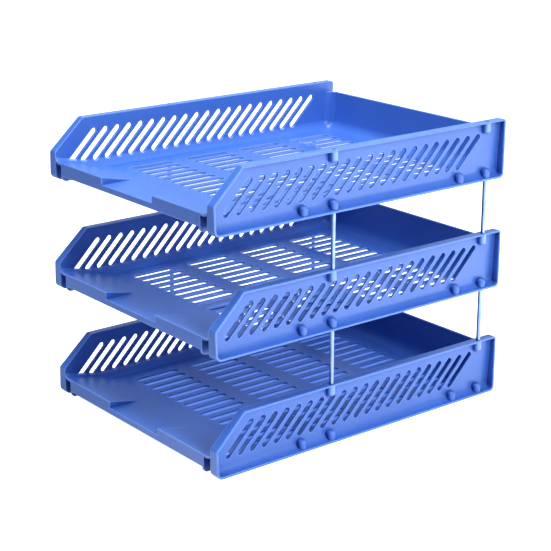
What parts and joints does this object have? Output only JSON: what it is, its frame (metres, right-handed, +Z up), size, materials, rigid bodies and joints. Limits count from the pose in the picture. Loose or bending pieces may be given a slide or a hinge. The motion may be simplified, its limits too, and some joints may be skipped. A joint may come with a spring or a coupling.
{
  "type": "letter tray",
  "caption": "Stacking letter tray: open-fronted slotted trays with a front ramp and finger notch, held one above another by steel rods in sockets.",
  "frame": {"origin": "middle of the width and depth, on the surface that the lowest tray stands on", "axes": "+X to the right as seen from the open front, +Y from the open front to the back wall, +Z up"},
  "size_m": [0.26, 0.3358, 0.2684],
  "materials": {
    "tray_plastic": "satin",
    "rod_steel": "polished"
  },
  "bodies": {
    "bottom_tray": {"bottom_tray": "tray_plastic"},
    "middle_tray": {"middle_tray": "tray_plastic"},
    "top_tray": {"top_tray": "tray_plastic"},
    "lower_rod_front_left": {"lower_rod_front_left": "rod_steel"},
    "lower_rod_front_right": {"lower_rod_front_right": "rod_steel"},
    "lower_rod_rear_left": {"lower_rod_rear_left": "rod_steel"},
    "lower_rod_rear_right": {"lower_rod_rear_right": "rod_steel"},
    "upper_rod_front_left": {"upper_rod_front_left": "rod_steel"},
    "upper_rod_front_right": {"upper_rod_front_right": "rod_steel"},
    "upper_rod_rear_left": {"upper_rod_rear_left": "rod_steel"},
    "upper_rod_rear_right": {"upper_rod_rear_right": "rod_steel"}
  },
  "joints": [
    {"name": "middle_tray_lift", "type": "slide", "parent": "bottom_tray", "child": "middle_tray", "axis": [0, 0, 1], "range_m": [0, 0.06]},
    {"name": "top_tray_lift", "type": "slide", "parent": "middle_tray", "child": "top_tray", "axis": [0, 0, 1], "range_m": [0, 0.06]},
    {"name": "lower_rod_front_left_lift", "type": "slide", "parent": "bottom_tray", "child": "lower_rod_front_left", "axis": [0, 0, 1], "range_m": [0, 0.009]},
    {"name": "lower_rod_front_right_lift", "type": "slide", "parent": "bottom_tray", "child": "lower_rod_front_right", "axis": [0, 0, 1], "range_m": [0, 0.009]},
    {"name": "lower_rod_rear_left_lift", "type": "slide", "parent": "bottom_tray", "child": "lower_rod_rear_left", "axis": [0, 0, 1], "range_m": [0, 0.009]},
    {"name": "lower_rod_rear_right_lift", "type": "slide", "parent": "bottom_tray", "child": "lower_rod_rear_right", "axis": [0, 0, 1], "range_m": [0, 0.009]},
    {"name": "upper_rod_front_left_lift", "type": "slide", "parent": "middle_tray", "child": "upper_rod_front_left", "axis": [0, 0, 1], "range_m": [0, 0.009]},
    {"name": "upper_rod_front_right_lift", "type": "slide", "parent": "middle_tray", "child": "upper_rod_front_right", "axis": [0, 0, 1], "range_m": [0, 0.009]},
    {"name": "upper_rod_rear_left_lift", "type": "slide", "parent": "middle_tray", "child": "upper_rod_rear_left", "axis": [0, 0, 1], "range_m": [0, 0.009]},
    {"name": "upper_rod_rear_right_lift", "type": "slide", "parent": "middle_tray", "child": "upper_rod_rear_right", "axis": [0, 0, 1], "range_m": [0, 0.009]}
  ],
  "couplings": [
    {"joint": "lower_rod_front_left_lift", "follows": "middle_tray_lift", "ratio": 0.15},
    {"joint": "lower_rod_front_right_lift", "follows": "middle_tray_lift", "ratio": 0.15},
    {"joint": "lower_rod_rear_left_lift", "follows": "middle_tray_lift", "ratio": 0.15},
    {"joint": "lower_rod_rear_right_lift", "follows": "middle_tray_lift", "ratio": 0.15},
    {"joint": "upper_rod_front_left_lift", "follows": "top_tray_lift", "ratio": 0.15},
    {"joint": "upper_rod_front_right_lift", "follows": "top_tray_lift", "ratio": 0.15},
    {"joint": "upper_rod_rear_left_lift", "follows": "top_tray_lift", "ratio": 0.15},
    {"joint": "upper_rod_rear_right_lift", "follows": "top_tray_lift", "ratio": 0.15}
  ]
}
